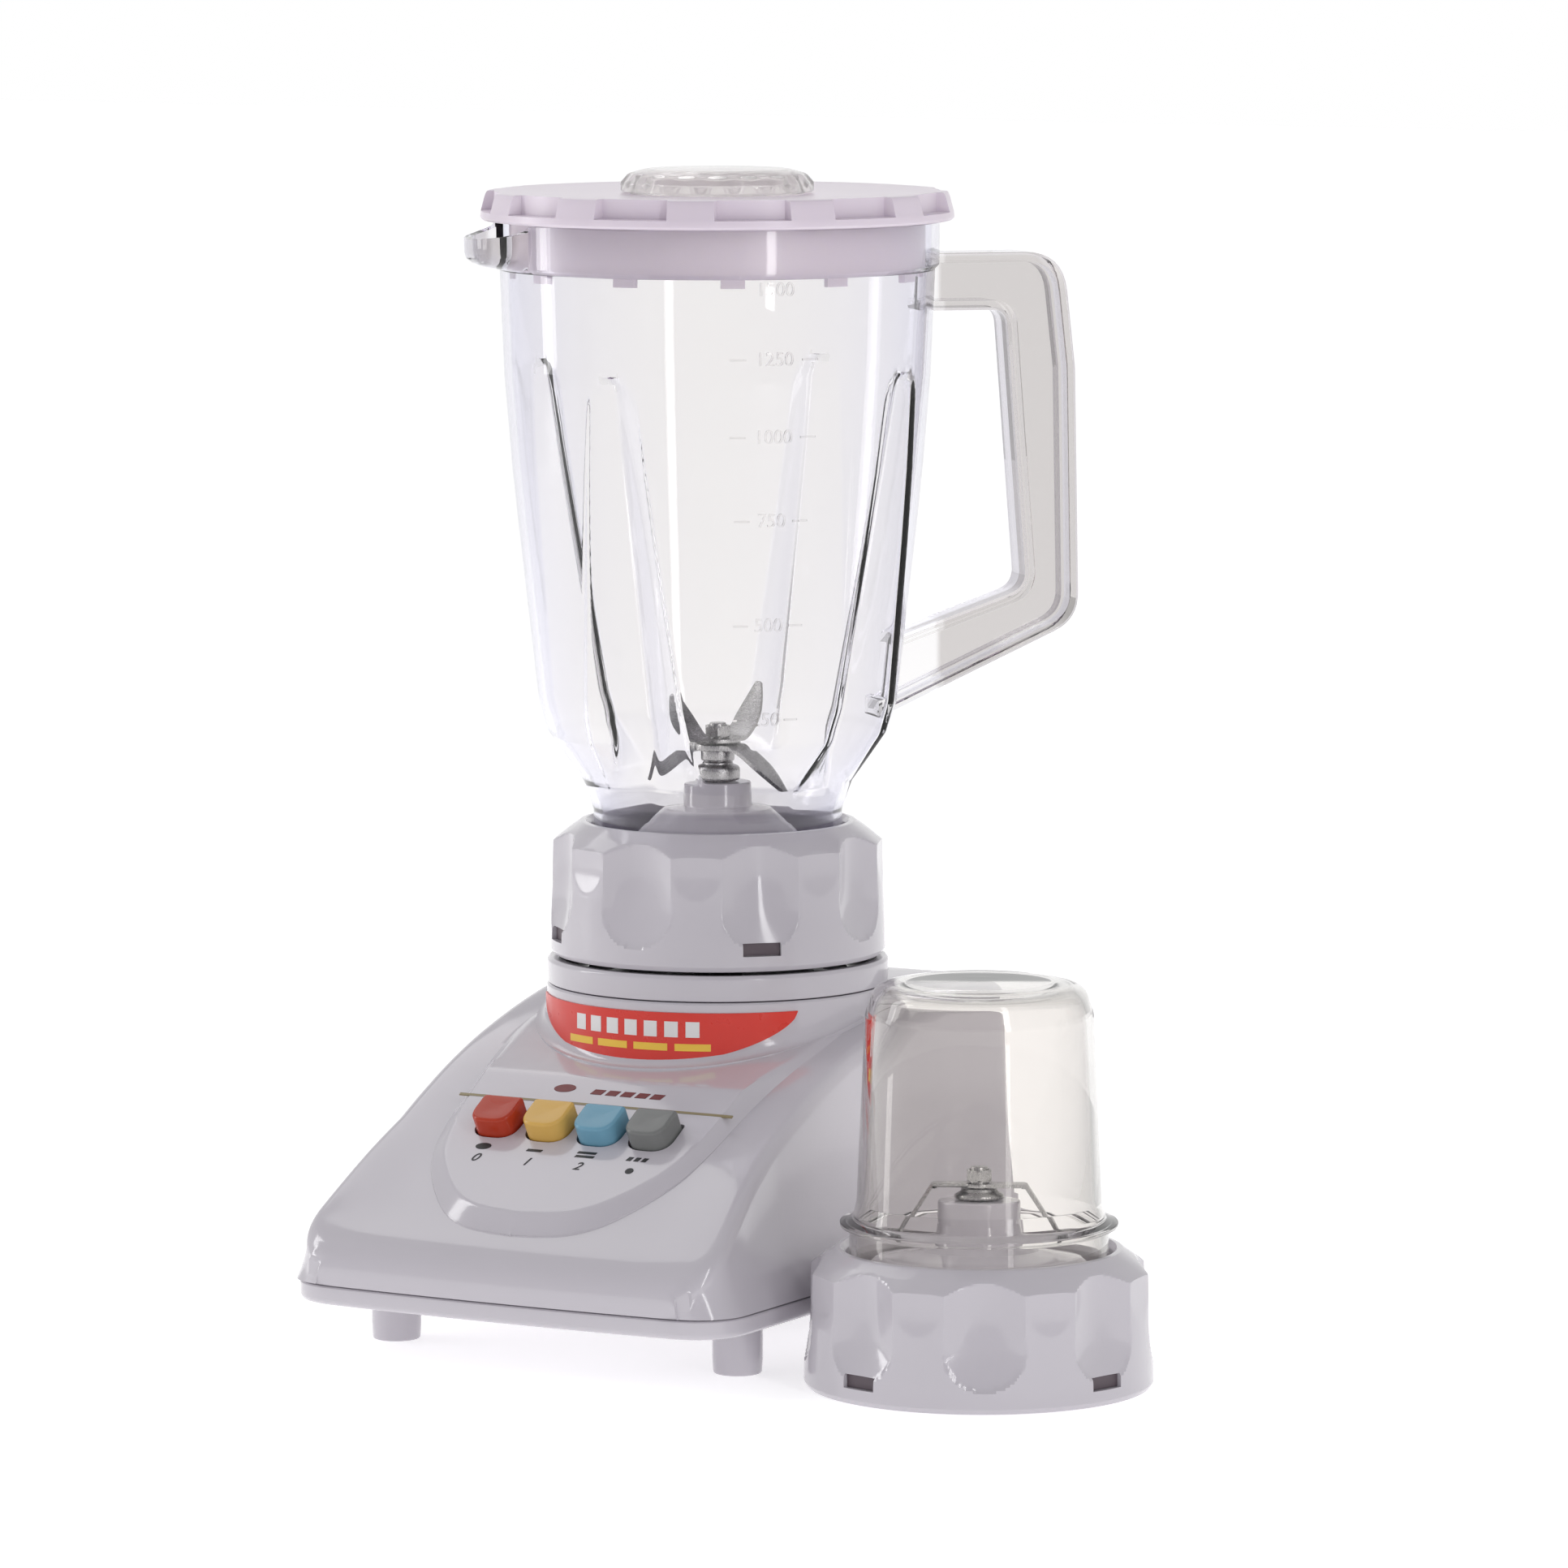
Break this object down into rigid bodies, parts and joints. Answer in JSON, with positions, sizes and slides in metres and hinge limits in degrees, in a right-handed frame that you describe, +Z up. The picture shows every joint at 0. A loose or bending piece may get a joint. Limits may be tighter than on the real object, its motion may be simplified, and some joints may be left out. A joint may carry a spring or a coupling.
{
  "type": "countertop blender",
  "caption": "Countertop blender: sloping motor base with push buttons, fluted clear jug with handle, lid and filler cap, and a dry mill standing beside it.",
  "frame": {"origin": "under the middle of the footprint of the blender and its mill, on the surface they stand on", "axes": "+Z up along the jug and motor axis; the buttons face -Y; the mill stands on the +X side"},
  "size_m": [0.2598, 0.2216, 0.3556],
  "materials": {
    "body_plastic": "pale lilac grey, glossy moulded plastic",
    "lid_plastic": "pale lilac, slightly translucent glossy plastic",
    "clear_plastic": "clear moulded plastic, faint violet at the edges",
    "jar_plastic": "clear moulded plastic, faint green at the edges",
    "steel": "brushed and ground stainless steel",
    "copper": "copper winding and sintered bronze",
    "seal_rubber": "soft matt seal rubber",
    "dark_plastic": "black moulded plastic",
    "label_red": "glossy printed sticker",
    "button_red": "glossy",
    "button_yellow": "glossy",
    "button_blue": "glossy",
    "button_grey": "glossy"
  },
  "bodies": {
    "base": {"base_housing": "body_plastic", "base_tower": "body_plastic", "bottom_cover": "body_plastic", "foot_front_left": "body_plastic", "foot_front_right": "body_plastic", "foot_rear_left": "body_plastic", "foot_rear_right": "body_plastic", "cover_screw_front_left": "steel", "cover_screw_front_right": "steel", "cover_screw_rear_left": "steel", "cover_screw_rear_right": "steel", "locking_ring": "body_plastic", "label_sticker": "label_red", "switch_bank": "dark_plastic", "cord_gland": "dark_plastic", "motor_stator": "steel", "field_coil_left": "copper", "field_coil_right": "copper", "lower_bracket": "steel", "upper_bracket": "steel", "lower_bearing": "copper", "upper_bearing": "copper", "brush_left": "dark_plastic", "brush_right": "dark_plastic"},
    "rotor": {"motor_shaft": "steel", "cooling_fan": "dark_plastic", "armature_core": "steel", "commutator": "copper", "drive_coupler": "dark_plastic"},
    "key_stop": {"button_stop": "button_red"},
    "key_low": {"button_low": "button_yellow"},
    "key_high": {"button_high": "button_blue"},
    "key_pulse": {"button_pulse": "button_grey"},
    "jug_base": {"jug_collar": "body_plastic", "jug_blade_holder": "body_plastic", "jug_gasket": "seal_rubber", "jug_blade_bush": "copper"},
    "jug_blades": {"jug_blade_shaft": "steel", "jug_coupler": "dark_plastic", "jug_blade_cup": "steel", "jug_blade_spacer": "steel", "jug_blade_lower": "steel", "jug_blade_upper": "steel", "jug_blade_nut": "steel"},
    "jug_body": {"jug": "clear_plastic"},
    "lid_body": {"lid": "lid_plastic", "lid_skirt": "lid_plastic"},
    "cap_body": {"filler_cap": "clear_plastic"},
    "mill_base": {"mill_collar": "body_plastic", "mill_blade_holder": "body_plastic", "mill_blade_hub": "body_plastic", "mill_gasket": "seal_rubber", "mill_blade_bush": "copper"},
    "mill_blades": {"mill_blade_shaft": "steel", "mill_coupler": "dark_plastic", "mill_blade_spacer": "steel", "mill_blade": "steel", "mill_blade_nut": "steel"},
    "mill_cup": {"mill_jar": "jar_plastic"}
  },
  "joints": [
    {"name": "motor_spin", "type": "hinge", "parent": "base", "child": "rotor", "pos_m": [-0.05294, 0.02421, 0], "axis": [0, 0, 1], "continuous": true},
    {"name": "press_stop", "type": "slide", "parent": "base", "child": "key_stop", "axis": [0, 0.4964, -0.8681], "range_m": [0, 0.004], "stiffness_N_per_m": 250},
    {"name": "press_low", "type": "slide", "parent": "base", "child": "key_low", "axis": [0, 0.4964, -0.8681], "range_m": [0, 0.004], "stiffness_N_per_m": 250},
    {"name": "press_high", "type": "slide", "parent": "base", "child": "key_high", "axis": [0, 0.4964, -0.8681], "range_m": [0, 0.004], "stiffness_N_per_m": 250},
    {"name": "press_pulse", "type": "slide", "parent": "base", "child": "key_pulse", "axis": [0, 0.4964, -0.8681], "range_m": [0, 0.004], "stiffness_N_per_m": 250},
    {"name": "jug_lift", "type": "slide", "parent": "base", "child": "jug_base", "axis": [0, 0, 1], "range_m": [0, 0.06]},
    {"name": "jug_blade_spin", "type": "hinge", "parent": "jug_base", "child": "jug_blades", "pos_m": [-0.05294, 0.02421, 0], "axis": [0, 0, 1], "continuous": true},
    {"name": "jug_unscrew", "type": "hinge", "parent": "jug_base", "child": "jug_body", "pos_m": [-0.05294, 0.02421, 0], "axis": [0, 0, 1], "range_deg": [0, 60]},
    {"name": "lid_lift", "type": "slide", "parent": "jug_body", "child": "lid_body", "axis": [0, 0, 1], "range_m": [0, 0.05]},
    {"name": "cap_lift", "type": "slide", "parent": "lid_body", "child": "cap_body", "axis": [0, 0, 1], "range_m": [0, 0.035]},
    {"name": "mill_lift", "type": "slide", "parent": "base", "child": "mill_base", "axis": [0, 0, 1], "range_m": [0, 0.06]},
    {"name": "mill_blade_spin", "type": "hinge", "parent": "mill_base", "child": "mill_blades", "pos_m": [0.07806, -0.04879, 0], "axis": [0, 0, 1], "continuous": true},
    {"name": "mill_unscrew", "type": "hinge", "parent": "mill_base", "child": "mill_cup", "pos_m": [0.07806, -0.04879, 0], "axis": [0, 0, 1], "range_deg": [0, 60]}
  ],
  "couplings": [
    {"joint": "jug_blade_spin", "follows": "motor_spin", "ratio": 1}
  ]
}
